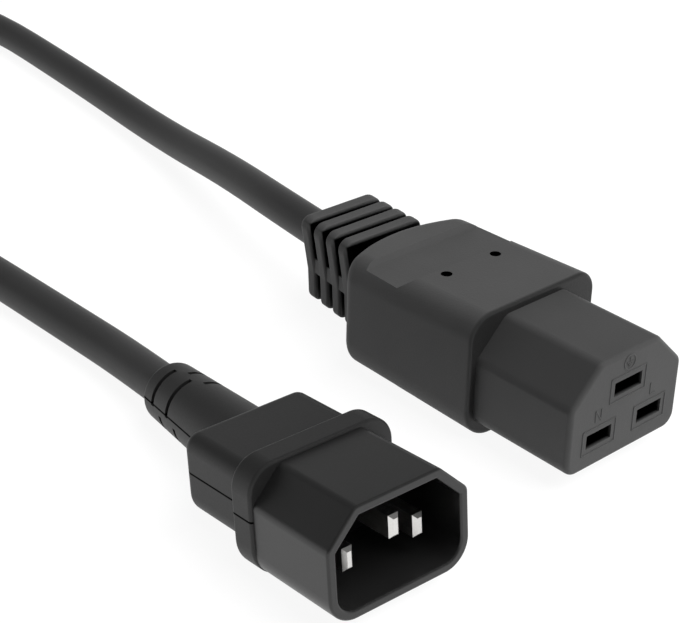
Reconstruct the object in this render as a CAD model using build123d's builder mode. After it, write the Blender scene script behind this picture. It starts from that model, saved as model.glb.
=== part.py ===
"""Power cord with a 16 A female connector at one end and a 10 A male plug at the other.

Both ends are moulded on. The connector lies on its flat underside with its mating face towards +X.
The cord runs back from it to a tied coil and returns to the plug, which lies beside the connector.
The origin is on the surface that the cord lies on, below the middle of the connector.
"""
import math
import os

from build123d import *

os.makedirs("parts", exist_ok=True)

# Fits between pieces
running_gap = 0.05
seat_gap = 0.15

# Cable: three insulated cores in one round sheath
cable_diameter = 7.8
core_diameter = 2.8
core_spacing = 3.0
conductor_diameter = 1.6
cable_radius = cable_diameter / 2
core_radius = core_diameter / 2
conductor_radius = conductor_diameter / 2
lay_radius = core_spacing / math.sqrt(3)

# Connector nose, a separate hard insert; heights are taken from the line and neutral slots
nose_length = 22.0
nose_width = 28.4
nose_above = 14.6
nose_below = 5.7
nose_chamfer = 6.8
nose_top_radius = 2.2
nose_bottom_radius = 2.8
nose_edge = 0.9
insert_foot = 3.0
insert_cap = 2.0

# Slots in the mating face and the chambers behind them
slot_width = 6.3
earth_slot_width = 7.0
slot_height = 2.7
slot_spacing = 13.0
earth_slot_rise = 8.0
slot_depth = 3.5
chamber_width = 7.6
chamber_height = 4.6
chamber_back_wall = 2.0

# Female contacts folded from brass strip
contact_sheet = 0.5
contact_length = 13.0
contact_blade_gap = 1.8

# Connector housing
housing_length = 37.0
housing_width = 31.6
housing_above = 16.2
housing_below = 8.9
housing_top_radius = 4.6
housing_bottom_radius = 6.5
housing_top_fall = 1.5
housing_bottom_rise = 0.5
housing_back_bulge = 4.5
housing_back_edge = 3.0
housing_front_edge = 0.7
grip_from_front = 20.0
grip_length = 8.5
grip_depth = 2.35
grip_ramp_slope = 1.2
grip_lip_slope = 0.6
dimple_diameter = 2.1
dimple_spacing = 12.5
dimple_depth = 3.0
dimple_from_front = 16.0

# Strain relief of the connector, pulled a little to one side by the cable
relief_turn = 5.6
relief_roll = 3.0
boot_height = 12.9
boot_inset = 4.0
boot_length = 22.4
boot_top_width = 18.4
boot_low_width = 15.6
boot_above = 8.8
boot_below = 9.8
boot_growth = 1.0
boot_top_radius = 2.2
boot_low_radius = 1.6
boot_block = 3.1
boot_block_edge = 1.3
boot_ribs = 3
boot_rib = 2.3
boot_rib_edge = 0.45
boot_gap = 1.9
boot_core_diameter = 11.2
boot_web = 3.2
boot_web_drop = 1.5
boot_web_inset = 0.2

# Plug shroud, a hard moulding whose skirt surrounds the three pins
shroud_width = 27.8
shroud_above = 11.2
shroud_below = 7.8
shroud_chamfer = 5.6
shroud_top_radius = 1.6
shroud_bottom_radius = 5.0
shroud_wall = 1.65
shroud_length = 18.2
shroud_rim_edge = 0.45
skirt_depth = 17.6
carrier_inset = 2.6

# Pins of the plug
pin_spacing = 14.0
pin_rise = 4.0
pin_thickness = 2.0
pin_width = 4.0
pin_recess = 3.7
earth_pin_lead = 2.7
pin_tip_bevel = 0.6
pin_crimp_length = 4.0
pin_crimp_wall = 0.6

# Plug collar, body and strain relief in one soft moulding
collar_width = 28.8
collar_above = 11.9
collar_below = 8.4
collar_length = 5.0
collar_top_radius = 5.0
collar_bottom_radius = 6.4
collar_edge = 0.6
body_width = 24.6
body_above = 9.5
body_below = 5.4
body_length = 16.0
body_top_radius = 2.6
body_bottom_radius = 4.2
body_back_edge = 1.6
sleeve_rise = 2.0
sleeve_inset = 3.0
sleeve_length = 30.3
sleeve_root_diameter = 14.0
sleeve_tip_diameter = 11.2
sleeve_edge = 1.2
sleeve_core_diameter = 9.8
sleeve_slots = 4
sleeve_slot_width = 1.0
sleeve_slot_pitch = 2.8
sleeve_first_slot = 3.7
sleeve_web = 1.0

# Where the plug lies: heading, nose-up tilt and place of its rim
plug_heading = -2.1
plug_tilt = 6.1
plug_ahead = 3.7
plug_aside = -55.7

# Cord between the two ends; its lead-outs leave the reliefs in line with them
sheath_hold = 8.0
fan_run = 8.0
connector_lead_out = 16.0
plug_lead_out = 13.0
bend_share = 0.45
entry_lead = 30.0
exit_lead = 24.0

# Coil of the cord that is put away, held by a strap
coil_columns = 3
coil_layers = 2
coil_full_turns = 5
coil_mean_radius = 43.8
coil_centre = (-214.5, -73.6)
coil_corner = 3.0
coil_stub = 34.0
coil_entry_angle = 180.0
coil_exit_angle = 315.0
strap_width = 12.0
strap_sheet = 1.2
strap_angle = 45.0



def relief_outline(growth):
    """Outline of the connector's strain relief: wider at the top, straight below its web."""
    top = (boot_top_width + growth) / 2
    low = (boot_low_width + growth) / 2
    above = boot_above + growth / 2
    below = boot_below + growth / 2
    with BuildSketch() as outline:
        with BuildLine():
            Polyline(
                (-low, -below),
                (low, -below),
                (low, -boot_web / 2 - boot_web_drop),
                (top, above),
                (-top, above),
                (-low, -boot_web / 2 - boot_web_drop),
                close=True,
            )
        make_face()
        fillet(outline.vertices().group_by(Axis.Y)[0], boot_low_radius)
        fillet(outline.vertices().group_by(Axis.Y)[-1], boot_top_radius)
    return outline.sketch


# Heights and places that follow from the sizes above
pole_height = housing_below
face_to_back = nose_length + housing_length
boot_run = boot_length - boot_block_edge
boot_half = relief_outline(0).bounding_box().max.X - boot_block_edge
turn_cos = math.cos(math.radians(relief_turn))
turn_sin = math.sin(math.radians(relief_turn))
roll_cos = math.cos(math.radians(relief_roll))
roll_sin = math.sin(math.radians(relief_roll))
boot_reach = boot_run * turn_cos + boot_half * turn_sin + boot_block_edge
connector_length = face_to_back - boot_inset + boot_reach
face_x = connector_length / 2
seam_x = face_x - nose_length
housing_back_x = seam_x - housing_length

mating_face = Plane(origin=(face_x, 0, pole_height), x_dir=(0, 1, 0), z_dir=(1, 0, 0))
seam = mating_face.offset(-nose_length)
boot_root = Plane(
    origin=(housing_back_x + boot_inset, 0, boot_height),
    x_dir=(turn_sin * roll_cos, turn_cos * roll_cos, roll_sin),
    z_dir=(turn_cos, -turn_sin, 0),
)

tilt_cos = math.cos(math.radians(plug_tilt))
tilt_sin = math.sin(math.radians(plug_tilt))
collar_back = shroud_length + collar_length
body_back = collar_back + body_length
plug_height = (collar_back - collar_edge) * tilt_sin + (collar_below - collar_edge) * tilt_cos + collar_edge


def heading(angle, tilt=0):
    """Unit direction for a compass angle from +X and a rise above level, both in degrees."""
    flat = math.cos(math.radians(tilt))
    across = math.radians(angle)
    return Vector(flat * math.cos(across), flat * math.sin(across), math.sin(math.radians(tilt)))


plug_face = Plane(
    origin=(face_x + plug_ahead, plug_aside, plug_height),
    x_dir=heading(plug_heading + 90),
    z_dir=heading(plug_heading, plug_tilt),
)
sleeve_root = Plane(
    origin=plug_face.from_local_coords((0, sleeve_rise, sleeve_inset - body_back)),
    x_dir=plug_face.x_dir * turn_cos + plug_face.z_dir * turn_sin,
    z_dir=plug_face.z_dir * turn_cos - plug_face.x_dir * turn_sin,
)


def chamfered_outline(width, above, below, chamfer_size, top_radius, bottom_radius):
    """Outline of both mating shapes: a rectangle whose two upper corners are cut at 45 degrees."""
    with BuildSketch() as outline:
        with BuildLine():
            Polyline(
                (-width / 2, -below),
                (width / 2, -below),
                (width / 2, above - chamfer_size),
                (width / 2 - chamfer_size, above),
                (chamfer_size - width / 2, above),
                (-width / 2, above - chamfer_size),
                close=True,
            )
        make_face()
        corners = outline.vertices().sort_by(Axis.Y)
        fillet(corners[:2], bottom_radius)
        corners = outline.vertices().sort_by(Axis.Y)
        fillet(corners[-4:], top_radius)
    return outline.sketch


def block_outline(width, above, below, top_radius, bottom_radius):
    """Outline of the moulded blocks: a rectangle with its own radius at the top and at the bottom."""
    with BuildSketch() as outline:
        with Locations((0, (above - below) / 2)):
            Rectangle(width, above + below)
        fillet(outline.vertices().group_by(Axis.Y)[0], bottom_radius)
        fillet(outline.vertices().group_by(Axis.Y)[-1], top_radius)
    return outline.sketch


def sweep_round(points, radius, bends):
    """Solid and length of a round wire that follows straight runs joined by tangent arcs."""
    with BuildPart() as wire:
        with BuildLine() as path:
            FilletPolyline(*points, radius=bends)
        with BuildSketch(Plane(origin=path.line @ 0, z_dir=path.line % 0)):
            Circle(radius)
        sweep()
    return wire.part, sum(edge.length for edge in path.edges())


def bend_radii(points):
    """Largest arc at each corner: a share of the shorter run over the tangent of half the turn."""
    radii = []
    for before, corner, after in zip(points, points[1:], points[2:]):
        arriving = Vector(*corner) - Vector(*before)
        leaving = Vector(*after) - Vector(*corner)
        half_turn = math.radians(arriving.get_angle(leaving) / 2)
        radii.append(bend_share * min(arriving.length, leaving.length) / math.tan(half_turn))
    return radii


# Places of the three poles on the mating face: across, up and slot width
connector_poles = {
    "line": (slot_spacing / 2, 0, slot_width),
    "neutral": (-slot_spacing / 2, 0, slot_width),
    "earth": (0, earth_slot_rise, earth_slot_width),
}
plug_poles = {
    "line": (-pin_spacing / 2, 0, 0),
    "neutral": (pin_spacing / 2, 0, 0),
    "earth": (0, pin_rise, earth_pin_lead),
}
lay_angles = {"line": -30, "neutral": 210, "earth": 90}

# Connector insert: the nose with its slots, chambers and foot
insert_depth = nose_length + insert_foot
chamber_end = insert_depth - chamber_back_wall
nose_profile = chamfered_outline(
    nose_width, nose_above, nose_below, nose_chamfer, nose_top_radius, nose_bottom_radius
)
with BuildPart() as connector_insert:
    with BuildSketch(mating_face):
        add(nose_profile)
    extrude(amount=-insert_depth)
    front_edges = connector_insert.faces().sort_by(Axis.X)[-1].edges()
    fillet(front_edges, nose_edge)
    with BuildSketch(mating_face):
        for across, up, width in connector_poles.values():
            with Locations((across, up)):
                Rectangle(width, slot_height)
    extrude(amount=-slot_depth, mode=Mode.SUBTRACT)
    with BuildSketch(mating_face.offset(-slot_depth)):
        for across, up, width in connector_poles.values():
            with Locations((across, up)):
                Rectangle(chamber_width, chamber_height)
    extrude(amount=slot_depth - chamber_end, mode=Mode.SUBTRACT)
    with BuildSketch(mating_face.offset(-chamber_end)):
        for across, up, width in connector_poles.values():
            with Locations((across, up)):
                Circle(core_radius + running_gap)
    extrude(amount=-chamber_back_wall, mode=Mode.SUBTRACT)
connector_insert.part.label = "connector_insert"

# Rear cap that keeps the soft moulding out of the chambers
with BuildPart() as connector_insert_cap:
    with BuildSketch(mating_face.offset(-insert_depth)):
        add(nose_profile)
        offset(amount=-chamber_back_wall, mode=Mode.REPLACE)
        for across, up, width in connector_poles.values():
            with Locations((across, up)):
                Circle(core_radius + running_gap, mode=Mode.SUBTRACT)
    extrude(amount=-insert_cap)
connector_insert_cap.part.label = "connector_insert_cap"

# Female contacts: a folded box with two springs that grip the blade, and a crimp round the conductor
contact_width = chamber_width - 2 * seat_gap
contact_height_outside = chamber_height - 2 * seat_gap
contact_start = slot_depth + seat_gap
contact_end = contact_start + contact_length
crimp_radius = conductor_radius + running_gap
connector_contacts = []
for pole, (across, up, width) in connector_poles.items():
    with BuildPart() as contact:
        with BuildSketch(mating_face.offset(-contact_start)):
            with Locations((across, up)):
                Rectangle(contact_width, contact_height_outside)
                Rectangle(
                    contact_width - 2 * contact_sheet,
                    contact_height_outside - 2 * contact_sheet,
                    mode=Mode.SUBTRACT,
                )
        extrude(amount=-contact_length)
        spring_plane = Plane(
            origin=mating_face.from_local_coords((across, up, 0)),
            x_dir=(1, 0, 0),
            z_dir=(0, -1, 0),
        )
        inside = contact_height_outside / 2 - contact_sheet
        grip = contact_blade_gap / 2
        with BuildSketch(spring_plane):
            with BuildLine():
                Polyline(
                    (-contact_start, inside),
                    (-contact_start - contact_length / 2, grip),
                    (-contact_end, inside),
                    close=True,
                )
            make_face()
            mirror(about=Plane.XZ)
        extrude(amount=contact_width / 2 - contact_sheet, both=True)
        with BuildSketch(mating_face.offset(-contact_end)):
            with Locations((across, up)):
                Rectangle(contact_width, contact_height_outside)
                Circle(crimp_radius, mode=Mode.SUBTRACT)
        extrude(amount=-contact_sheet)
        with BuildSketch(mating_face.offset(-contact_end - contact_sheet)):
            with Locations((across, up)):
                Circle(crimp_radius + contact_sheet)
                Circle(crimp_radius, mode=Mode.SUBTRACT)
        extrude(amount=contact_sheet + seat_gap - (chamber_end - contact_end))
    contact.part.label = f"connector_{pole}_contact"
    connector_contacts.append(contact.part)

# Cores inside the connector, fanned out from the sheath to the contacts
sheath_end = boot_root.offset(sheath_hold - boot_length)
connector_cores = []
for pole, (across, up, width) in connector_poles.items():
    lay = math.radians(lay_angles[pole])
    start = sheath_end.from_local_coords((lay_radius * math.cos(lay), lay_radius * math.sin(lay), 0))
    fan_start = sheath_end.from_local_coords((lay_radius * math.cos(lay), lay_radius * math.sin(lay), fan_run))
    fan_end = mating_face.from_local_coords((across, up, -insert_depth - insert_cap - fan_run / 2))
    end = mating_face.from_local_coords((across, up, -chamber_end))
    core, core_length = sweep_round((start, fan_start, fan_end, end), core_radius, fan_run / 2)
    with BuildPart() as core_piece:
        add(core)
        with BuildSketch(mating_face.offset(-chamber_end)):
            with Locations((across, up)):
                Circle(conductor_radius)
        extrude(amount=chamber_end - contact_end + contact_sheet)
    core_piece.part.label = f"connector_{pole}_core"
    connector_cores.append(core_piece.part)

# Plates of the connector's strain relief: a thick one at its end and thinner ones nearer the housing
relief_axis = Axis(boot_root.origin, boot_root.z_dir)
boot_plates = []
for plate in range(boot_ribs + 1):
    plate_back = boot_length if plate == 0 else boot_length - boot_block + boot_rib - plate * (boot_rib + boot_gap)
    growth = boot_growth * (1 - plate_back / boot_length)
    with BuildPart() as boot_plate:
        with BuildSketch(boot_root.offset(-plate_back)):
            add(relief_outline(growth))
        extrude(amount=boot_block if plate == 0 else boot_rib)
        plate_ends = boot_plate.faces().sort_by(relief_axis)
        fillet(plate_ends[-1].edges(), boot_rib_edge)
        plate_ends = boot_plate.faces().sort_by(relief_axis)
        fillet(plate_ends[0].edges(), boot_block_edge if plate == 0 else boot_rib_edge)
    boot_plates.append(boot_plate.part)

# Connector overmould: housing and strain relief in one soft moulding
housing_height = housing_above + housing_below
with BuildPart() as connector_overmould:
    with BuildSketch(seam):
        add(
            block_outline(
                housing_width, housing_above, housing_below, housing_top_radius, housing_bottom_radius
            )
        )
    with BuildSketch(seam.offset(-housing_length)):
        add(
            block_outline(
                housing_width,
                housing_above - housing_top_fall,
                housing_below - housing_bottom_rise,
                housing_top_radius,
                housing_bottom_radius,
            )
        )
    loft(ruled=True)
    with BuildSketch(Plane.XY):
        with BuildLine():
            Polyline(
                (housing_back_x + housing_back_bulge, housing_width / 2),
                (seam_x, housing_width / 2),
                (seam_x, -housing_width / 2),
                (housing_back_x + housing_back_bulge, -housing_width / 2),
            )
            ThreePointArc(
                (housing_back_x + housing_back_bulge, -housing_width / 2),
                (housing_back_x, 0),
                (housing_back_x + housing_back_bulge, housing_width / 2),
            )
        make_face()
    extrude(amount=housing_height, mode=Mode.INTERSECT)
    back_edges = connector_overmould.faces().sort_by(Axis.X)[0].edges()
    fillet(back_edges, housing_back_edge)
    front_edges = connector_overmould.faces().sort_by(Axis.X)[-1].edges()
    fillet(front_edges, housing_front_edge)
    # Finger grips: a flat floor between a ramp and a raised lip, above and below
    grip_front = seam_x - grip_from_front
    grip_back = grip_front - grip_length
    clear = 2 * grip_depth
    with BuildSketch(Plane.XZ.offset(-housing_width / 2)):
        for side in (1, -1):
            with BuildLine(Location((0, housing_height / 2, 0))):
                floor = housing_height / 2 - grip_depth
                Polyline(
                    (grip_front, side * floor),
                    (grip_back, side * floor),
                    (grip_back - clear * grip_lip_slope, side * (floor + clear)),
                    (grip_front + clear * grip_ramp_slope, side * (floor + clear)),
                    close=True,
                )
            make_face()
    extrude(amount=housing_width, mode=Mode.SUBTRACT)
    # Dimples left by the pins that hold the insert in the mould
    with Locations(Plane.XY.offset(housing_height)):
        with Locations((seam_x - dimple_from_front, 0)):
            with GridLocations(0, dimple_spacing, 1, 2):
                Hole(dimple_diameter / 2, depth=dimple_depth)
    # Strain relief: rounded plates on a round core, joined at the sides by a web at half height
    add(boot_plates)
    with BuildSketch(boot_root):
        Circle(boot_core_diameter / 2)
    extrude(amount=boot_block / 2 - boot_length)
    with BuildSketch(boot_root):
        with Locations((0, -boot_web_drop)):
            Rectangle(boot_low_width + boot_growth - 2 * boot_web_inset, boot_web)
    with BuildSketch(boot_root.offset(boot_block / 2 - boot_length)):
        with Locations((0, -boot_web_drop)):
            Rectangle(boot_low_width - 2 * boot_web_inset, boot_web)
    loft()
    with BuildSketch(sheath_end):
        Circle(cable_radius)
    extrude(amount=-sheath_hold, mode=Mode.SUBTRACT)
    with BuildSketch(seam):
        add(nose_profile)
    extrude(amount=-insert_foot, mode=Mode.SUBTRACT)
    add(connector_insert_cap.part, mode=Mode.SUBTRACT)
    add(connector_cores, mode=Mode.SUBTRACT)
connector_overmould.part.label = "connector_overmould"

# Plug shroud: a skirt round the pins and the floor that holds them
shroud_profile = chamfered_outline(
    shroud_width, shroud_above, shroud_below, shroud_chamfer, shroud_top_radius, shroud_bottom_radius
)
shroud_depth = shroud_length + carrier_inset
with BuildPart() as plug_shroud:
    with BuildSketch(plug_face):
        add(shroud_profile)
    extrude(amount=-shroud_depth)
    with BuildSketch(plug_face):
        add(shroud_profile)
        offset(amount=-shroud_wall, mode=Mode.REPLACE)
    extrude(amount=-skirt_depth, mode=Mode.SUBTRACT)
    rim_edges = plug_shroud.faces().sort_by(Axis(plug_face.origin, plug_face.z_dir))[-1].edges()
    fillet(rim_edges, shroud_rim_edge)
    with BuildSketch(plug_face.offset(-skirt_depth)):
        for across, up, lead in plug_poles.values():
            with Locations((across, up)):
                Rectangle(pin_thickness, pin_width)
    extrude(amount=skirt_depth - shroud_depth, mode=Mode.SUBTRACT)
plug_shroud.part.label = "plug_shroud"

# Pins: bevelled blades through the floor, each with a crimp barrel behind it
pin_crimp_radius = conductor_radius + running_gap
plug_pins = []
for pole, (across, up, lead) in plug_poles.items():
    tip = pin_recess - lead
    with BuildPart() as pin:
        with BuildSketch(plug_face.offset(-tip)):
            with Locations((across, up)):
                Rectangle(pin_thickness, pin_width)
        extrude(amount=tip - shroud_depth)
        tip_edges = pin.faces().sort_by(Axis(plug_face.origin, plug_face.z_dir))[-1].edges()
        chamfer(tip_edges, pin_tip_bevel)
        with BuildSketch(plug_face.offset(-shroud_depth)):
            with Locations((across, up)):
                Circle(pin_crimp_radius + pin_crimp_wall)
        extrude(amount=-pin_crimp_length)
        with BuildSketch(plug_face.offset(-shroud_depth - pin_crimp_length)):
            with Locations((across, up)):
                Circle(pin_crimp_radius)
        extrude(amount=pin_crimp_length, mode=Mode.SUBTRACT)
    pin.part.label = f"plug_{pole}_pin"
    plug_pins.append(pin.part)

# Cores inside the plug, fanned out from the sheath to the pins
plug_sheath_end = sleeve_root.offset(sheath_hold - sleeve_length)
pin_back = shroud_depth + pin_crimp_length
plug_cores = []
for pole, (across, up, lead) in plug_poles.items():
    lay = math.radians(180 - lay_angles[pole])
    start = plug_sheath_end.from_local_coords((lay_radius * math.cos(lay), lay_radius * math.sin(lay), 0))
    fan_start = plug_sheath_end.from_local_coords(
        (lay_radius * math.cos(lay), lay_radius * math.sin(lay), fan_run)
    )
    fan_end = plug_face.from_local_coords((across, up, -pin_back - fan_run / 2))
    end = plug_face.from_local_coords((across, up, -pin_back))
    core, core_length = sweep_round((start, fan_start, fan_end, end), core_radius, fan_run / 2)
    with BuildPart() as core_piece:
        add(core)
        with BuildSketch(plug_face.offset(-pin_back)):
            with Locations((across, up)):
                Circle(conductor_radius)
        extrude(amount=pin_crimp_length)
    core_piece.part.label = f"plug_{pole}_core"
    plug_cores.append(core_piece.part)

# Plug overmould: collar, body and strain relief in one soft moulding
plug_axis = Axis(plug_face.origin, plug_face.z_dir)
with BuildPart() as plug_overmould:
    with BuildSketch(plug_face.offset(-shroud_length)):
        add(block_outline(collar_width, collar_above, collar_below, collar_top_radius, collar_bottom_radius))
    extrude(amount=-collar_length)
    collar_ends = plug_overmould.faces().sort_by(plug_axis)
    fillet(collar_ends[0].edges() + collar_ends[-1].edges(), collar_edge)
    with BuildSketch(plug_face.offset(-collar_back)):
        add(block_outline(body_width, body_above, body_below, body_top_radius, body_bottom_radius))
    extrude(amount=-body_length)
    fillet(plug_overmould.faces().sort_by(plug_axis)[0].edges(), body_back_edge)
    with BuildSketch(sleeve_root):
        Circle(sleeve_root_diameter / 2)
    with BuildSketch(sleeve_root.offset(-sleeve_length)):
        Circle(sleeve_tip_diameter / 2)
    loft()
    fillet(plug_overmould.faces().sort_by(plug_axis)[0].edges(), sleeve_edge)
    quarter = (sleeve_root_diameter + sleeve_web) / 2
    for slot in range(sleeve_slots):
        side = 1 if slot % 2 else -1
        slot_start = sleeve_length - sleeve_first_slot - slot * sleeve_slot_pitch
        with BuildSketch(sleeve_root.offset(-slot_start)):
            with Locations((side * quarter, quarter), (-side * quarter, -quarter)):
                Rectangle(sleeve_root_diameter, sleeve_root_diameter)
            Circle(sleeve_core_diameter / 2, mode=Mode.SUBTRACT)
        extrude(amount=sleeve_slot_width, mode=Mode.SUBTRACT)
    with BuildSketch(plug_sheath_end):
        Circle(cable_radius)
    extrude(amount=-sheath_hold, mode=Mode.SUBTRACT)
    with BuildSketch(plug_face.offset(-shroud_length)):
        add(shroud_profile)
    extrude(amount=-carrier_inset, mode=Mode.SUBTRACT)
    with BuildSketch(plug_face.offset(-shroud_depth)):
        for across, up, lead in plug_poles.values():
            with Locations((across, up)):
                Circle(pin_crimp_radius + pin_crimp_wall)
    extrude(amount=-pin_crimp_length, mode=Mode.SUBTRACT)
    add(plug_cores, mode=Mode.SUBTRACT)
plug_overmould.part.label = "plug_overmould"

# Coil: the outer shape of the turns, with a straight stub where the cord enters and leaves it
entry_radius = coil_mean_radius + (coil_columns - 1) / 2 * cable_diameter
coil_width = coil_columns * cable_diameter
coil_height = coil_layers * cable_diameter
entry_level = cable_radius
exit_level = coil_height - cable_radius
coil_x, coil_y = coil_centre
coil_axis = Axis((coil_x, coil_y, 0), (0, 0, 1))


def tangent_plane(angle, level, direction):
    """Plane across the outermost turn, where its normal runs along the turn or against it."""
    across = math.radians(angle)
    origin = (coil_x + entry_radius * math.cos(across), coil_y + entry_radius * math.sin(across), level)
    return Plane(origin=origin, z_dir=heading(angle + 90) * direction)


def cut_corners(width, height):
    """Section of the stacked turns: a rectangle whose corners are cut where the outer turns round off."""
    with BuildSketch() as section:
        Rectangle(width, height)
        chamfer(section.vertices(), coil_corner)
    return section.sketch


entry_plane = tangent_plane(coil_entry_angle, entry_level, -1)
exit_plane = tangent_plane(coil_exit_angle, exit_level, 1)
with BuildPart() as coil_strap:
    strap_turn = math.degrees(strap_width / coil_mean_radius)
    strap_start = heading(strap_angle - strap_turn / 2)
    with BuildSketch(Plane(origin=(coil_x, coil_y, 0), x_dir=strap_start, z_dir=strap_start.cross(Vector(0, 0, 1)))):
        with Locations((coil_mean_radius, (coil_height + strap_sheet) / 2)):
            add(cut_corners(coil_width + 2 * strap_sheet, coil_height + strap_sheet))
            add(cut_corners(coil_width, coil_height - strap_sheet), mode=Mode.SUBTRACT)
    revolve(axis=coil_axis, revolution_arc=strap_turn)
coil_strap.part.label = "coil_strap"

with BuildPart() as cable_coil:
    with BuildSketch(Plane(origin=(coil_x, coil_y, 0), x_dir=(1, 0, 0), z_dir=(0, -1, 0))):
        with Locations((coil_mean_radius, coil_height / 2)):
            add(cut_corners(coil_width, coil_height))
    revolve(axis=coil_axis)
    with BuildSketch(entry_plane):
        Circle(cable_radius)
    extrude(amount=coil_stub)
    with BuildSketch(exit_plane):
        Circle(cable_radius)
    extrude(amount=coil_stub)
    add(coil_strap.part, mode=Mode.SUBTRACT)
cable_coil.part.label = "cable_coil"

# Cord stretches between the coil and the two ends, with points chosen by hand
cable_rest = cable_radius
connector_route = [
    sheath_end.origin,
    boot_root.offset(-boot_length - connector_lead_out).origin,
    (-84.4, 11.0, 9.6),
    (-119.0, 18.4, 4.6),
    (-162.0, 24.2, cable_rest),
    (-223.9, 29.7, cable_rest),
    (-250.6, 16.1, cable_rest),
    entry_plane.offset(coil_stub + entry_lead).origin,
    entry_plane.offset(coil_stub).origin,
]
plug_route = [
    exit_plane.offset(coil_stub).origin,
    exit_plane.offset(coil_stub + exit_lead).origin,
    (-114.5, -54.8, 7.4),
    (-90.8, -49.9, cable_rest),
    (-60.0, -48.9, cable_rest),
    sleeve_root.offset(-sleeve_length - plug_lead_out).origin,
    plug_sheath_end.origin,
]
cables = []
cable_length = 0
for name, route in (("cable_to_connector", connector_route), ("cable_to_plug", plug_route)):
    radii = bend_radii(route)
    print(name, "radii", [round(radius) for radius in radii])
    tube, run = sweep_round(route, cable_radius, radii)
    print(name, "volume over section times length", round(tube.volume / (math.pi * cable_radius**2 * run), 5))
    tube.label = name
    cables.append(tube)
    cable_length += run
coil_turn = (coil_exit_angle - coil_entry_angle) / 360
coiled = 2 * math.pi * (coil_full_turns * coil_mean_radius + coil_turn * entry_radius) + 2 * coil_stub
print("cord length", round(cable_length), "+", round(coiled), "=", round(cable_length + coiled))

sub_parts = [
    connector_overmould.part,
    connector_insert.part,
    connector_insert_cap.part,
    plug_overmould.part,
    plug_shroud.part,
    cable_coil.part,
    coil_strap.part,
]
sub_parts += connector_contacts + connector_cores + plug_pins + plug_cores + cables
for sub_part in sub_parts:
    export_step(sub_part, f"parts/{sub_part.label}.step")
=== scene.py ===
# %% [markdown]
# # A power cord with two moulded ends
#
# The part is a mains cord. One end is a 16 A connector with a hard nose in a soft
# housing. The other is a 10 A plug with a hard shroud round its blades. The solids
# come from the frame, so this file gives them their finishes, lays the cord as one
# smooth curve and adds the fine marks on the connector's face.

# %% Load the frame
import math

import bpy
import numpy as np
from mathutils import Matrix


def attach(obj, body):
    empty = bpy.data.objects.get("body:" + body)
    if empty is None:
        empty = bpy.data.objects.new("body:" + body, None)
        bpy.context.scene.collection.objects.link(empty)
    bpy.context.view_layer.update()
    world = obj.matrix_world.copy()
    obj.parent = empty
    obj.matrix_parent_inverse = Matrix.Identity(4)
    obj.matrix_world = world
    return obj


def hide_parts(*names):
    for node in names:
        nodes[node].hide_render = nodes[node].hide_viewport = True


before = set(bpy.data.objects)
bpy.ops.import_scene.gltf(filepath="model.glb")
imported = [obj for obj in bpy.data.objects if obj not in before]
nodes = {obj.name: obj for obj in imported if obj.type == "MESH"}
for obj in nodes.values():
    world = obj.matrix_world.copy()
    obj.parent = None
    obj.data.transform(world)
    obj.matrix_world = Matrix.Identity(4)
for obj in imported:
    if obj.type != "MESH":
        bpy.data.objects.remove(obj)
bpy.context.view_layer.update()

# %% [markdown]
# ## The camera
#
# The camera looks down on both ends from the front and from the side of the plug. It
# could be aimed with a constraint, but that leaves its roll to chance. Its turn is
# worked out from an azimuth, an elevation and a small roll, which is easier to read
# and to change than a matrix.

# %% Directions and objects
def unit(vector):
    """The vector divided by its length."""
    vector = np.asarray(vector, float)
    return vector / np.linalg.norm(vector)


def camera_axes(azimuth, elevation, roll):
    """The camera's right, up and back directions.

    Back points from the object to the camera. Right is level, up is square to both, and
    the roll then turns right and up about back.
    """
    back = np.array([
        math.cos(elevation) * math.cos(azimuth),
        math.cos(elevation) * math.sin(azimuth),
        math.sin(elevation),
    ])
    right = unit(np.cross((0, 0, 1), back))
    up = np.cross(back, right)
    turned_right = math.cos(roll) * right + math.sin(roll) * up
    turned_up = math.cos(roll) * up - math.sin(roll) * right
    return turned_right, turned_up, back


def linked(name, data, axes=None, place=(0, 0, 0)):
    """A new object in the scene, turned to right, up and back axes where they are given."""
    made = bpy.data.objects.new(name, data)
    bpy.context.scene.collection.objects.link(made)
    if axes:
        rows = np.column_stack([*axes, place])
        made.matrix_world = Matrix([*rows.tolist(), (0, 0, 0, 1)])
    return made


CAMERA_AZIMUTH = math.radians(-41.818)
CAMERA_ELEVATION = math.radians(29.053)
CAMERA_ROLL = math.radians(1.184)
view_axes = camera_axes(CAMERA_AZIMUTH, CAMERA_ELEVATION, CAMERA_ROLL)
print("camera right", view_axes[0].round(3), "up", view_axes[1].round(3))

# %% Camera
CAMERA_AT = (0.18952, -0.20037, 0.16623)
CAMERA_LENS = 90.0
CAMERA_SENSOR = 36.0
NEAREST, FARTHEST = 0.01, 20.0

camera_data = bpy.data.cameras.new("camera")
camera_data.sensor_fit = "HORIZONTAL"
camera_data.sensor_width = CAMERA_SENSOR
camera_data.lens = CAMERA_LENS
camera_data.clip_start = NEAREST
camera_data.clip_end = FARTHEST
camera = linked("camera", camera_data, view_axes, CAMERA_AT)
bpy.context.scene.camera = camera
print("camera", CAMERA_LENS, "mm at", CAMERA_AT)

# %% [markdown]
# ## The route of the cord
#
# A cord is one length of something flexible. It could be bent with bones or a cloth
# simulation. A NURBS spline of order 3 is enough here: it stays inside the corners of
# its control points, as a real cord does, so a few given points give a smooth line.
# The picture shows only the first stretch from each end. The rest is wound into a tied
# coil beside the picture.

# %% Points of the cord outside the coil
CORD_DIAMETER = 0.0078
FLOOR_LEVEL = CORD_DIAMETER / 2

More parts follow.
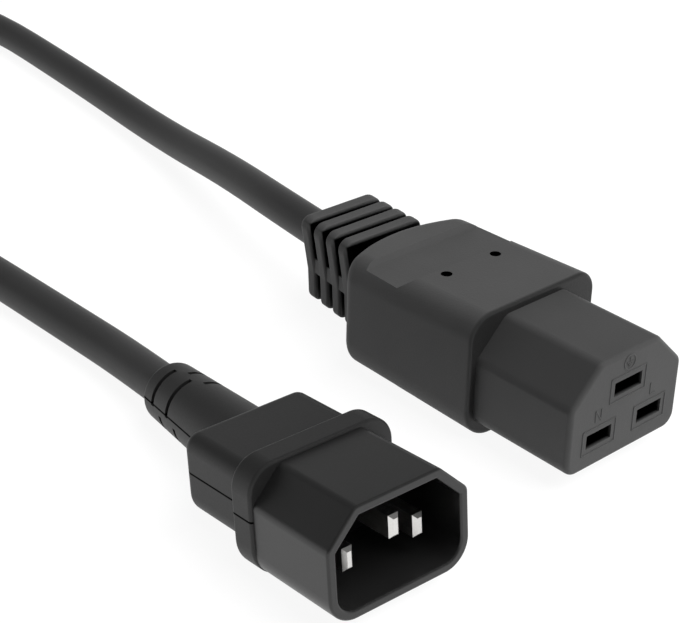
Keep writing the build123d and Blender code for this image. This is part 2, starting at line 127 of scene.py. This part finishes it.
connector_route = [
    (-0.0303, 0.0014, 0.0129),
    (-0.0542, 0.0037, 0.0129),
    (-0.0844, 0.0110, 0.0096),
    (-0.1190, 0.0184, 0.0046),
    (-0.1620, 0.0242, FLOOR_LEVEL),
    (-0.2239, 0.0297, FLOOR_LEVEL),
    (-0.2506, 0.0161, FLOOR_LEVEL),
    (-0.2661, -0.0096, FLOOR_LEVEL),
    (-0.2661, -0.0396, FLOOR_LEVEL),
]
plug_route = [
    (-0.1540, -0.0860, 0.0117),
    (-0.1370, -0.0691, 0.0117),
    (-0.1145, -0.0548, 0.0074),
    (-0.0908, -0.0499, FLOOR_LEVEL),
    (-0.0600, -0.0489, FLOOR_LEVEL),
    (-0.0361, -0.0486, 0.0043),
    (-0.0154, -0.0514, 0.0065),
]
print("points placed by hand", len(connector_route) + len(plug_route))

# %% [markdown]
# ## The coil
#
# The coil has two layers of three turns side by side. The cord comes in on the
# outside of the lower layer, steps inwards once a turn, climbs at the innermost turn
# and steps outwards again on top. Each step happens over a fifth of a turn, and the
# steps are placed so that the cord never meets itself. A formula of the turn gives all
# its points at once, which is surer than placing a hundred of them.

# %% Turns of the coil
COIL_CENTRE = (-0.2145, -0.0736)
COIL_RADIUS = 0.0438
COIL_ENTRY_TURN = 0.5
COIL_TURNS = 5.375
STEPS_PER_TURN = 24
STEP_SPAN = 0.2
STEPS_IN = (0.8, 1.8)
STEP_UP = 2.6
STEPS_OUT = (3.4, 4.4)


def eased(turn, start):
    """0 before start, 1 once the step's span is over, and the smooth curve 3t²-2t³ between."""
    t = np.clip((turn - start) / STEP_SPAN, 0, 1)
    return t * t * (3 - 2 * t)


def coil_points():
    """Control points round the coil's axis, at equal angles.

    Each step inwards or outwards changes the radius by a diameter. The radius is divided
    by the cosine of half the angle between two points, so that the spline inside the
    points has the turns' radius.
    """
    count = round(COIL_TURNS * STEPS_PER_TURN)
    turn = (np.arange(count) + 0.5) / STEPS_PER_TURN
    inward = sum(eased(turn, start) for start in STEPS_IN)
    outward = sum(eased(turn, start) for start in STEPS_OUT)
    radius = COIL_RADIUS + CORD_DIAMETER * (1 - inward + outward)
    level = FLOOR_LEVEL + CORD_DIAMETER * eased(turn, STEP_UP)
    angle = 2 * math.pi * (turn + COIL_ENTRY_TURN)
    reach = radius / math.cos(math.pi / STEPS_PER_TURN)
    return np.column_stack([
        COIL_CENTRE[0] + reach * np.cos(angle),
        COIL_CENTRE[1] + reach * np.sin(angle),
        level,
    ])


route = np.vstack([connector_route, coil_points(), plug_route])
print("cord control points", len(route))

# %% [markdown]
# ## The cord
#
# The sheath is round and has the same thickness all along. A circle could be carried
# along the route as a mesh, but a bevel on the spline gives the same tube from its
# radius alone. One curve replaces the three solids that the frame has for the cord,
# because a joint between them would show.

# %% Cord
SPLINE_ORDER = 3
STEPS_BETWEEN_POINTS = 6
BEVEL_RESOLUTION = 7


def round_tube(name, points, radius):
    """A round tube on a NURBS spline that starts and ends at its end points.

    A curve's box is the box of its points, grown by each point's radius, which is 1 m
    unless it is set. So the points carry the tube's radius, and the bevel multiplies it
    by 1.
    """
    curve = bpy.data.curves.new(name, "CURVE")
    curve.dimensions = "3D"
    spline = curve.splines.new("NURBS")
    spline.points.add(len(points) - 1)
    weights = np.ones(len(points))
    spline.points.foreach_set("co", np.column_stack([points, weights]).ravel())
    spline.points.foreach_set("radius", np.full(len(points), radius))
    spline.order_u = SPLINE_ORDER
    spline.use_endpoint_u = True
    spline.resolution_u = STEPS_BETWEEN_POINTS
    curve.bevel_depth = 1.0
    curve.bevel_resolution = BEVEL_RESOLUTION
    curve.use_fill_caps = True
    return linked(name, curve)


cord = round_tube("cord", route, CORD_DIAMETER / 2)
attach(cord, "root")
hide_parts("cable_to_connector", "cable_coil", "cable_to_plug")

# %% [markdown]
# ## Shader maths as Python
#
# A finish is a small network of nodes, which could be joined by hand in the editor.
# Writing it as expressions keeps it readable: `Signal` wraps one output socket and
# adds a Math node for every operator, and `Finish.node` adds any other node from its
# type, its settings and its inputs.

# %% Signals
class Signal:
    """The output socket of a node, with arithmetic that adds Math nodes."""

    def __init__(self, finish, socket):
        self.finish = finish
        self.socket = socket

    def maths(self, operation, *values):
        """A Math node on signals and numbers."""
        inputs = dict(enumerate(values))
        return self.finish.node("ShaderNodeMath", {"operation": operation}, inputs)

    def __add__(self, other):
        return self.maths("ADD", self, other)

    def __sub__(self, other):
        return self.maths("SUBTRACT", self, other)

    def __rsub__(self, other):
        return self.maths("SUBTRACT", other, self)

    def __mul__(self, other):
        return self.maths("MULTIPLY", self, other)

    def __abs__(self):
        return self.maths("ABSOLUTE", self)

    __radd__ = __add__
    __rmul__ = __mul__

    def at_least(self, low):
        """The larger of the signal and low."""
        return self.maths("MAXIMUM", self, low)

    def smoothly(self, low, high):
        """0 below low, 1 above high and a smooth step between them."""
        settings = {"interpolation_type": "SMOOTHSTEP"}
        inputs = {"Value": self, "From Min": low, "From Max": high}
        return self.finish.node("ShaderNodeMapRange", settings, inputs)


print("a signal can", [name for name in vars(Signal) if not name.startswith("_")])

# %% Finishes
class Finish:
    """A procedural material whose nodes are added by calls."""

    def __init__(self, name):
        self.material = bpy.data.materials.new(name)
        self.material.use_nodes = True
        self.tree = self.material.node_tree
        self.tree.nodes.clear()

    def node(self, kind, settings, inputs, output=0):
        """A new node: its settings first, then a value or a link for each named socket."""
        made = self.tree.nodes.new(kind)
        for key, value in settings.items():
            setattr(made, key, value)
        for key, value in inputs.items():
            if isinstance(value, Signal):
                self.tree.links.new(value.socket, made.inputs[key])
            else:
                made.inputs[key].default_value = value
        return Signal(self, made.outputs[output])

    def place(self):
        """Object coordinates, which are metres in the part's own frame."""
        return self.node("ShaderNodeTexCoord", {}, {}, "Object")

    def along(self, origin, direction):
        """Distance in metres from origin, measured along a unit direction."""
        subtract, dot = {"operation": "SUBTRACT"}, {"operation": "DOT_PRODUCT"}
        offset = self.node("ShaderNodeVectorMath", subtract, {0: self.place(), 1: origin})
        return self.node("ShaderNodeVectorMath", dot, {0: offset, 1: direction}, "Value")

    def noise(self, per_metre, detail=2.0, where=None):
        """Cloudy values round a half, with so many cells to the metre."""
        inputs = {"Vector": where or self.place(), "Scale": per_metre, "Detail": detail}
        return self.node("ShaderNodeTexNoise", {}, inputs, "Fac")

    def blend(self, amount, first, second):
        """A colour between two colours."""
        inputs = {"Factor": amount, 6: first, 7: second}
        return self.node("ShaderNodeMix", {"data_type": "RGBA"}, inputs, 2)

    def bumped(self, height, distance):
        """A surface normal tilted by a height from 0 to 1, which is so many metres high."""
        return self.node("ShaderNodeBump", {}, {"Height": height, "Distance": distance})

    def surface(self, inputs):
        """The plain surface shader, joined to the material's output."""
        self.close(self.node("ShaderNodeBsdfPrincipled", {}, inputs))
        return self.material

    def close(self, shader):
        """Joins a shader to a new material output."""
        output = self.tree.nodes.new("ShaderNodeOutputMaterial")
        self.tree.links.new(shader.socket, output.inputs["Surface"])


def grey(level):
    """An opaque neutral colour."""
    return (level, level, level, 1.0)


def dress(material, *names):
    """Gives CAD nodes a material in place of the one they came with."""
    for name in names:
        nodes[name].data.materials.clear()
        nodes[name].data.materials.append(material)


print("a finish can", [name for name in vars(Finish) if not name.startswith("_")])

# %% [markdown]
# ## Moulded plastic
#
# The housings and the sheath are moulded plastic. A mould leaves a fine spark-eroded
# grain that makes the gloss dull, and the tone clouds a little where the plastic
# cooled at different speeds. A photographed texture could show that. Noise needs no
# picture and no unwrapping, so one function makes all such finishes from a tone, a
# gloss and a grain.

# %% Moulded plastic and the cord's sheath
GRAIN_PER_METRE = 2600
CLOUDS_PER_METRE = 60
NOISE_DETAIL = 3.0
CLOUD_CONTRAST = 0.15
GRAIN_GLOSS = 0.1
# Masked places are painted nearly black: painted shade in the connector's gaps and recesses, a
# dark seam line on the plug.
MASKED_TONE = 0.25
MASKED_DEPTH = 2


def moulded(name, tone, roughness, shine, grain_height, mask=None, masked_roughness=0.3):
    """Plastic with clouded tone and fine grain.

    Where a mask is 1 the colour is painted nearly black, as a metal with its own roughness.
    Such a metal has no gloss, so painted shade in a deep gap stays dark; on the plug the
    mask is a dark seam line instead.
    """
    finish = Finish(name)
    clouds = finish.noise(CLOUDS_PER_METRE, NOISE_DETAIL)
    grain = finish.noise(GRAIN_PER_METRE, NOISE_DETAIL)
    darker, lighter = tone * (1 - CLOUD_CONTRAST), tone * (1 + CLOUD_CONTRAST)
    colour = finish.blend(clouds, grey(darker), grey(lighter))
    dullness = roughness + GRAIN_GLOSS * (grain - 0.5)
    height = grain
    seam_and_painted_shade = 0.0
    # The mask paints shade into the colour, or a dark seam line on the plug.
    if mask:
        seam_and_painted_shade = mask(finish)
        colour = finish.blend(seam_and_painted_shade, colour, grey(tone * MASKED_TONE))
        dullness = dullness + (masked_roughness - roughness) * seam_and_painted_shade
        height = height - MASKED_DEPTH * seam_and_painted_shade
    return finish.surface({
        "Base Color": colour,
        "Metallic": seam_and_painted_shade,
        "Roughness": dullness,
        "Specular IOR Level": shine,
        "Normal": finish.bumped(height, grain_height),
    })


cable_sheath = moulded(
    "cable_sheath", tone=0.018, roughness=0.5, shine=0.35, grain_height=0.00002
)
cord.data.materials.append(cable_sheath)
print("sheath", len(cable_sheath.node_tree.nodes), "nodes")

# %% [markdown]
# ## Painted shade on the connector
#
# The walls of the slots, the gaps between the plates of the strain relief and the two
# dimples hardly get any light on a real connector, and the nose casts its shadow on the
# flange's front face, which looks darker than its sides. This shade is painted into the
# colour. It could be painted on an unwrapped mesh. Here each patch of painted shade is a
# mask made of distances in the part's own frame, which needs no unwrapping. Each pair
# of limits says where the soft edge of a mask begins and ends.

# %% Masks for the slots and the dimples
FORWARD, BACKWARD, SIDEWAYS, UPWARD = (1, 0, 0), (-1, 0, 0), (0, 1, 0), (0, 0, 1)
FACE_X = 0.039022
AXIS_LEVEL = 0.0129
SLOTS_MIDDLE = (FACE_X, 0.0, AXIS_LEVEL)
SLOTS_BEHIND = (0.0001, 0.0009)
SLOTS_HALF_WIDTH = (0.0107, 0.0109)
SLOTS_HALF_HEIGHT = (0.0062, 0.0064)
DIMPLES_AT = (0.00102, 0.0, 0.018)
DIMPLES_ABOVE = (0.0, 0.001)
DIMPLE_ASIDE = 0.00625
DIMPLE_RADIUS = 0.00105
DIMPLE_RIM = 1.04 * DIMPLE_RADIUS


def within(distance, low, high):
    """1 where a distance is under low, 0 over high and a smooth step between."""
    return 1 - abs(distance).smoothly(low, high)


def in_slots(finish):
    """Painted shade: 1 on the walls of the slots, which lie in a box behind the face, and 0 on the
    outside.
    """
    behind = finish.along(SLOTS_MIDDLE, BACKWARD).smoothly(*SLOTS_BEHIND)
    aside = within(finish.along(SLOTS_MIDDLE, SIDEWAYS), *SLOTS_HALF_WIDTH)
    above = within(finish.along(SLOTS_MIDDLE, UPWARD), *SLOTS_HALF_HEIGHT)
    return behind * aside * above


def in_dimples(finish):
    """Painted shade: 1 in the two dimples on top, a round area on each side of the middle.

    The squares of the two distances from a dimple's centre add up to the square of the
    distance, which is compared with the square of the radius.
    """
    ahead = finish.along(DIMPLES_AT, FORWARD)
    aside = abs(finish.along(DIMPLES_AT, SIDEWAYS)) - DIMPLE_ASIDE
    on_top = finish.along(DIMPLES_AT, UPWARD).smoothly(*DIMPLES_ABOVE)
    off_centre = ahead * ahead + aside * aside
    return on_top * within(off_centre, DIMPLE_RADIUS**2, DIMPLE_RIM**2)


print("slots and dimples: masks in boxes behind", SLOTS_MIDDLE, "and above", DIMPLES_AT)

# %% Mask for the gaps of the strain relief
RELIEF_AT = (-0.015978, 0.0, AXIS_LEVEL)
RELIEF_BACK = (-0.99523, 0.09758, 0.0)
RELIEF_ACROSS = (0.09745, 0.99387, 0.05234)
RELIEF_UP = (-0.00511, -0.05209, 0.99863)
RELIEF_LENGTH = 0.0224
RELIEF_GROWTH = 0.0005
RELIEF_WEB = -0.0031
RELIEF_WIDENING = 0.1176
GAPS_MIDDLE_BACK = 0.0133
GAPS_MIDDLE_RISE = -0.0005
GAPS_HALF_LENGTH = (0.0084, 0.0087)
GAPS_HALF_WIDTH = (0.0068, 0.0073)
GAPS_HALF_HEIGHT = (0.0082, 0.0087)


def in_gaps(finish):
    """Painted shade: 1 between the plates of the strain relief, up to just under their rounded
    outer edges.

    The plates grow towards the housing, and above their web they get wider.
    """
    back = finish.along(RELIEF_AT, RELIEF_BACK)
    across = finish.along(RELIEF_AT, RELIEF_ACROSS)
    rise = finish.along(RELIEF_AT, RELIEF_UP)
    growth = RELIEF_GROWTH * (1 - back * (1 / RELIEF_LENGTH))
    widening = RELIEF_WIDENING * (rise - RELIEF_WEB).at_least(0.0)
    length = within(back - GAPS_MIDDLE_BACK, *GAPS_HALF_LENGTH)
    aside = within(abs(across) - growth - widening, *GAPS_HALF_WIDTH)
    above = within(abs(rise - GAPS_MIDDLE_RISE) - growth, *GAPS_HALF_HEIGHT)
    return length * aside * above


relief_turn = math.degrees(math.atan2(RELIEF_BACK[1], -RELIEF_BACK[0]))
print("strain relief turned", round(relief_turn, 1), "degrees")

# %% Front face of the flange
def highest_x(mesh):
    """The largest x of a mesh's vertices."""
    flat = np.empty(3 * len(mesh.vertices))
    mesh.vertices.foreach_get("co", flat)
    return float(flat.reshape(-1, 3)[:, 0].max())


FLANGE_X = highest_x(nodes["connector_overmould"].data)
# The flange's front face gets painted shade, for the shadow that the nose casts on it.
FLANGE_EDGE = (-0.0008, -0.0002)
FLANGE_SHADE = 0.5
print("flange's front face at x =", round(FLANGE_X, 4))

# %% Connector finishes
def in_shade(finish):
    """Painted shade: the gaps, the dimples and, half as dark, the flange's front face round the
    nose, in the nose's shadow.
    """
    front_face = finish.along((FLANGE_X, 0, 0), FORWARD).smoothly(*FLANGE_EDGE)
    return in_gaps(finish).at_least(in_dimples(finish)).at_least(front_face * FLANGE_SHADE)


# The soft housing's mask paints shade in the gaps, the dimples and on the flange's front face.
connector_soft = moulded(
    "connector_soft", tone=0.033, roughness=0.6, shine=0.32, grain_height=0.00003, mask=in_shade
)
# The hard nose's mask paints shade on the walls of its slots.
connector_hard = moulded(
    "connector_hard", tone=0.027, roughness=0.5, shine=0.3, grain_height=0.000015, mask=in_slots
)
dress(connector_soft, "connector_overmould")
dress(connector_hard, "connector_insert", "connector_insert_cap")
for material in (connector_soft, connector_hard):
    print(material.name, len(material.node_tree.nodes), "nodes")

# %% [markdown]
# ## The plug's moulding seams
#
# The plug is blacker and glossier than the connector. The two halves of its mould
# leave a thin line round the collar, the body and the strain relief. It could be cut
# into the solid, but so fine a groove takes many faces. The plug lies at an angle, so
# the line is found with the plug's own upward direction.

# %% Plug finishes
PLUG_AT = (0.042722, -0.0557, 0.010757)
PLUG_UP = (-0.106193, 0.003894, 0.994338)
SEAM_RISE = 0.0029
SEAM_HALF_WIDTH = (0.000096, 0.00024)


def on_seam(finish):
    """1 on the thin line where the mould's halves met, at one height above the plug's axis."""
    return within(finish.along(PLUG_AT, PLUG_UP) - SEAM_RISE, *SEAM_HALF_WIDTH)


plug_soft = moulded(
    "plug_soft",
    tone=0.0075,
    roughness=0.5,
    shine=0.4,
    grain_height=0.00001,
    mask=on_seam,
    masked_roughness=1.0,
)
plug_hard = moulded("plug_hard", tone=0.006, roughness=0.36, shine=0.55, grain_height=0.000006)
dress(plug_soft, "plug_overmould")
dress(plug_hard, "plug_shroud")
print("plug finishes", plug_soft.name, plug_hard.name)

# %% [markdown]
# ## Metal
#
# The blades are brass under bright nickel, rolled and then polished, so they have
# faint lines along their length. The contacts in the connector are bare brass. Noise
# that is stretched one way makes such lines, with no scratches to draw.

# %% Metal finishes
LINES_ALONG = (300, 4000, 4000)
LINE_TONE = 0.8
LINE_GLOSS = 0.15
LINE_HEIGHT = 0.00001


def metal(name, colour, roughness):
    """Rolled metal with faint lines: noise that is stretched along one direction."""
    finish = Finish(name)
    stretch = {"Vector": finish.place(), "Scale": LINES_ALONG}
    lines = finish.noise(1.0, NOISE_DETAIL, finish.node("ShaderNodeMapping", {}, stretch))
    dark = tuple(LINE_TONE * channel for channel in colour[:3]) + (1.0,)
    return finish.surface({
        "Base Color": finish.blend(lines, dark, colour),
        "Metallic": 1.0,
        "Roughness": roughness + LINE_GLOSS * (lines - 0.5),
        "Normal": finish.bumped(lines, LINE_HEIGHT),
    })


POLES = ("line", "neutral", "earth")
nickel = metal("pin_nickel", colour=(0.8, 0.79, 0.77, 1.0), roughness=0.32)
brass = metal("contact_brass", colour=(0.78, 0.6, 0.3, 1.0), roughness=0.3)
dress(nickel, *[f"plug_{pole}_pin" for pole in POLES])
dress(brass, *[f"connector_{pole}_contact" for pole in POLES])
print("metals", nickel.name, brass.name)

# %% [markdown]
# ## Cores
#
# Inside the ends the three cores leave the sheath. They have the usual colours, and
# the earth core is striped in two. Stripes that are painted on would need unwrapping,
# so waves with a sharpened edge make them.

# %% Core finishes
STRIPES = 40.0
STRIPE_EDGE = (0.45, 0.55)
CORE_CLOUDS = 300
CORE_ROUGHNESS = 0.35
CORE_GLOSS = 0.1
CORES = {
    "line": ("line_brown", (0.22, 0.09, 0.035, 1.0)),
    "neutral": ("neutral_blue", (0.03, 0.12, 0.42, 1.0)),
    "earth": ("earth_striped", (0.05, 0.3, 0.06, 1.0), (0.8, 0.65, 0.05, 1.0)),
}


def insulation(name, colour, stripe=None):
    """Smooth core insulation, with a second colour in slanting stripes where one is given."""
    finish = Finish(name)
    tone = colour
    if stripe:
        inputs = {"Vector": finish.place(), "Scale": STRIPES}
        waves = finish.node("ShaderNodeTexWave", {}, inputs, "Fac")
        tone = finish.blend(waves.smoothly(*STRIPE_EDGE), colour, stripe)
    roughness = CORE_ROUGHNESS + CORE_GLOSS * finish.noise(CORE_CLOUDS)
    return finish.surface({"Base Color": tone, "Roughness": roughness})


for pole, look in CORES.items():
    dress(insulation(*look), f"connector_{pole}_core", f"plug_{pole}_core")
print("core finishes", len(CORES))

# %% [markdown]
# ## The strap
#
# A woven strap holds the coil. The solid is a plain band, and its threads could be
# modelled one by one. They are too fine to see as shapes, so two crossed waves in the
# colour and the bump stand for them.

# %% Strap finish
THREADS = 160.0
THREAD_WAVER = 0.5
THREAD_TONES = (0.015, 0.048)
THREAD_ROUGHNESS = 0.9
THREAD_GLOSS = 0.1
THREAD_HEIGHT = 0.0002


def woven(name):
    """Woven tape: two crossed sine waves of threads, one lifted where the other dips."""
    finish = Finish(name)
    inputs = {"Vector": finish.place(), "Scale": THREADS, "Distortion": THREAD_WAVER}
    across = finish.node("ShaderNodeTexWave", {"bands_direction": "DIAGONAL"}, inputs, "Fac")
    upright = finish.node("ShaderNodeTexWave", {"bands_direction": "Z"}, inputs, "Fac")
    threads = across * upright
    return finish.surface({
        "Base Color": finish.blend(threads, *map(grey, THREAD_TONES)),
        "Roughness": THREAD_ROUGHNESS - THREAD_GLOSS * threads,
        "Normal": finish.bumped(threads, THREAD_HEIGHT),
    })


dress(woven("strap_weave"), "coil_strap")
print("dressed", len([name for name in nodes if nodes[name].data.materials]))

# %% [markdown]
# ## Marks on the connector's face
#
# The mould raises a thin frame round each slot, with the letters of the line and the
# neutral beside theirs and the earth sign above its own. Text objects could give the
# letters. Nearly all the marks are straight strokes, though, so one function serves
# them all: each stroke is a low ridge, a half-round profile that is carried along a
# line on the face.

# %% Ridges on the face
POLE_LEVEL = 0.0089
STROKE_WIDTH = 0.0003
STROKE_HEIGHT = 0.00012
STROKE_SIDES = 6


def ridge(points, closed=False):
    """Vertices and faces of a half-round ridge along a line of points on the face.

    Each point gets an arc: half a turn of angle, whose cosine goes across the line and
    whose sine lifts off the face. Neighbouring arcs are joined by quads.
    """
    line = np.asarray(points, float)
    if closed:
        line = np.vstack([line, line[:1]])
    ahead = np.gradient(line, axis=0)
    if closed:
        ahead[0] = ahead[-1] = line[1] - line[-2]
    ahead /= np.linalg.norm(ahead, axis=1, keepdims=True)
    side = np.column_stack([-ahead[:, 1], ahead[:, 0]])
    arc = np.linspace(0, math.pi, STROKE_SIDES + 1)
    spread = (STROKE_WIDTH / 2 * np.cos(arc))[None, :, None]
    across = line[:, None] + side[:, None] * spread
    lift = np.broadcast_to(STROKE_HEIGHT * np.sin(arc), across.shape[:2])
    grid = np.dstack([FACE_X + lift, across[..., 0], POLE_LEVEL + across[..., 1]])
    rows, columns = grid.shape[:2]
    index = np.arange(rows * columns).reshape(rows, columns)
    quads = np.stack([index[:-1, :-1], index[1:, :-1], index[1:, 1:], index[:-1, 1:]], -1)
    return grid.reshape(-1, 3), quads.reshape(-1, 4)


def circle(centre, radius, steps=24):
    """Points round a circle."""
    angle = 2 * math.pi * np.arange(steps) / steps
    return np.column_stack([
        centre[0] + radius * np.cos(angle),
        centre[1] + radius * np.sin(angle),
    ])


print("ridge", STROKE_WIDTH, "m wide and", STROKE_HEIGHT, "m high")

# %% Lines of the marks
SLOTS = {"line": (0.0065, 0.0), "neutral": (-0.0065, 0.0), "earth": (0.0, 0.008)}
SLOT_HALF_WIDTH = {"line": 0.00315, "neutral": 0.00315, "earth": 0.0035}
SLOT_HALF_HEIGHT = 0.00135
FRAME_MARGIN = 0.001
LETTER = 0.0022
N_LEFT, N_RIGHT, N_LOW = -0.0078, -0.0064, 0.0034
L_LEFT, L_LOW = 0.0063, 0.0035
L_FOOT = 0.6 * LETTER
EARTH_AT = (-0.0002, 0.0124)
EARTH_RADIUS = 0.0014
EARTH_STEM = 0.0009
EARTH_BARS = ((0.0, 0.0008), (0.0004, 0.0005), (0.0008, 0.0002))


def frame_lines(pole):
    """The four sides of the rectangle round a slot, a margin outside it."""
    across, up = SLOTS[pole]
    wide = SLOT_HALF_WIDTH[pole] + FRAME_MARGIN
    tall = SLOT_HALF_HEIGHT + FRAME_MARGIN
    signs = [(-1, -1), (1, -1), (1, 1), (-1, 1)]
    corners = [(across + wide * x, up + tall * y) for x, y in signs]
    return list(zip(corners, corners[1:] + corners[:1]))


def polyline(*points):
    """Each stretch between neighbouring points."""
    return list(zip(points, points[1:]))


mark_lines = [side for pole in SLOTS for side in frame_lines(pole)]
n_top, l_top = N_LOW + LETTER, L_LOW + LETTER
mark_lines += polyline((N_LEFT, N_LOW), (N_LEFT, n_top), (N_RIGHT, N_LOW), (N_RIGHT, n_top))
mark_lines += polyline((L_LEFT, l_top), (L_LEFT, L_LOW), (L_LEFT + L_FOOT, L_LOW))
earth_x, earth_y = EARTH_AT
mark_lines += polyline((earth_x, earth_y + EARTH_STEM), EARTH_AT)
for drop, half in EARTH_BARS:
    mark_lines += polyline((earth_x - half, earth_y - drop), (earth_x + half, earth_y - drop))
print("straight strokes", len(mark_lines))

# %% Face marks
def joined_mesh(name, parts):
    """One mesh from several vertex and face arrays: each part's faces count from its base."""
    vertices, faces, base = [], [], 0
    for points, quads in parts:
        vertices.append(points)
        faces.append(quads + base)
        base += len(points)
    mesh = bpy.data.meshes.new(name)
    mesh.from_pydata(np.vstack(vertices), [], np.vstack(faces).tolist())
    mesh.update()
    return linked(name, mesh)


strokes = [ridge(line) for line in mark_lines]
strokes.append(ridge(circle(EARTH_AT, EARTH_RADIUS), closed=True))
face_marks = joined_mesh("face_marks", strokes)
face_marks.data.materials.append(connector_hard)
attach(face_marks, "root")
print("face marks", len(strokes), "strokes,", len(face_marks.data.polygons), "faces")

# %% [markdown]
# ## The floor
#
# The cord lies on a plain white floor. It could be lit until it turns white, but that
# would burn out the object. Most of its white reaches the camera without any light
# instead, so it stays white while a soft shadow shows.

# %% Floor
FLOOR_HALF = 4.0
FLOOR_TONE = 0.9
UNLIT_SHARE = 0.92


def seen_directly(finish):
    """1 for the camera, reflections and clear pieces, and 0 for light that falls on the object."""
    kinds = ("Is Camera Ray", "Is Glossy Ray", "Is Transmission Ray")
    return sum(finish.node("ShaderNodeLightPath", {}, {}, kind) for kind in kinds)


def floor_finish():
    """White that the lamp lights, mixed with plain white where it is seen directly."""
    finish = Finish("floor_white")
    lit = finish.node("ShaderNodeBsdfDiffuse", {}, {"Color": grey(FLOOR_TONE)})
    plain = finish.node("ShaderNodeEmission", {}, {"Color": grey(1.0), "Strength": 1.0})
    share = seen_directly(finish) * UNLIT_SHARE
    finish.close(finish.node("ShaderNodeMixShader", {}, {0: share, 1: lit, 2: plain}))
    return finish.material


floor_corners = FLOOR_HALF * np.array([(-1, -1, 0), (1, -1, 0), (1, 1, 0), (-1, 1, 0)])
floor_mesh = bpy.data.meshes.new("floor")
floor_mesh.from_pydata(floor_corners.tolist(), [], [(0, 1, 2, 3)])
floor_mesh.materials.append(floor_finish())
floor = linked("floor", floor_mesh)
print("floor", 2 * FLOOR_HALF, "m wide")

# %% [markdown]
# ## The light
#
# Several small lamps could light the cord, but each would draw a bright line along the
# rounded edges. One large soft lamp stands at the upper right instead, and reflections
# leave it out, as if it shone through a cloth. The world looks white up to well above
# the horizon, like the walls of a studio under a dark ceiling, and lights the object
# only softly.

# %% Lamp
SUBJECT = (0.0, -0.03, 0.01)
LAMP_AT = (0.5, 0.38, 1.0)
LAMP_SIZE = 1.2
LAMP_POWER = 46.0

lamp_data = bpy.data.lights.new("key", "AREA")
lamp_data.size = LAMP_SIZE
lamp_data.energy = LAMP_POWER
lamp_back = unit(np.subtract(LAMP_AT, SUBJECT))
lamp_right = unit(np.cross((0, 0, 1), lamp_back))
lamp_axes = (lamp_right, np.cross(lamp_back, lamp_right), lamp_back)
lamp = linked("key", lamp_data, lamp_axes, LAMP_AT)
lamp.visible_glossy = False
print("lamp", LAMP_SIZE, "m wide,", LAMP_POWER, "W")

# %% World
WORLD_LIGHT = 0.2
WALL_TOP, CEILING_EDGE = 0.17, 0.32


class Studio(Finish):
    """The world, whose nodes are added in the same way as a material's."""

    def __init__(self, name):
        self.world = bpy.data.worlds.new(name)
        self.world.use_nodes = True
        self.tree = self.world.node_tree
        self.tree.nodes.clear()

    def close(self, shader):
        """Joins a shader to a new world output."""
        output = self.tree.nodes.new("ShaderNodeOutputWorld")
        self.tree.links.new(shader.socket, output.inputs["Surface"])


studio = Studio("studio")
direction = studio.node("ShaderNodeTexCoord", {}, {}, "Generated")
rise = studio.node("ShaderNodeSeparateXYZ", {}, {"Vector": direction}, "Z")
share = seen_directly(studio) * (1 - rise.smoothly(WALL_TOP, CEILING_EDGE))
dim, white = [
    studio.node("ShaderNodeBackground", {}, {"Color": grey(1.0), "Strength": strength})
    for strength in (WORLD_LIGHT, 1.0)
]
studio.close(studio.node("ShaderNodeMixShader", {}, {0: share, 1: dim, 2: white}))
bpy.context.scene.world = studio.world
bpy.context.scene.view_settings.view_transform = "Standard"
print("world light", WORLD_LIGHT)

# %% [markdown]
# ## Sizes
#
# The looks must not make the cord bigger than its solids.
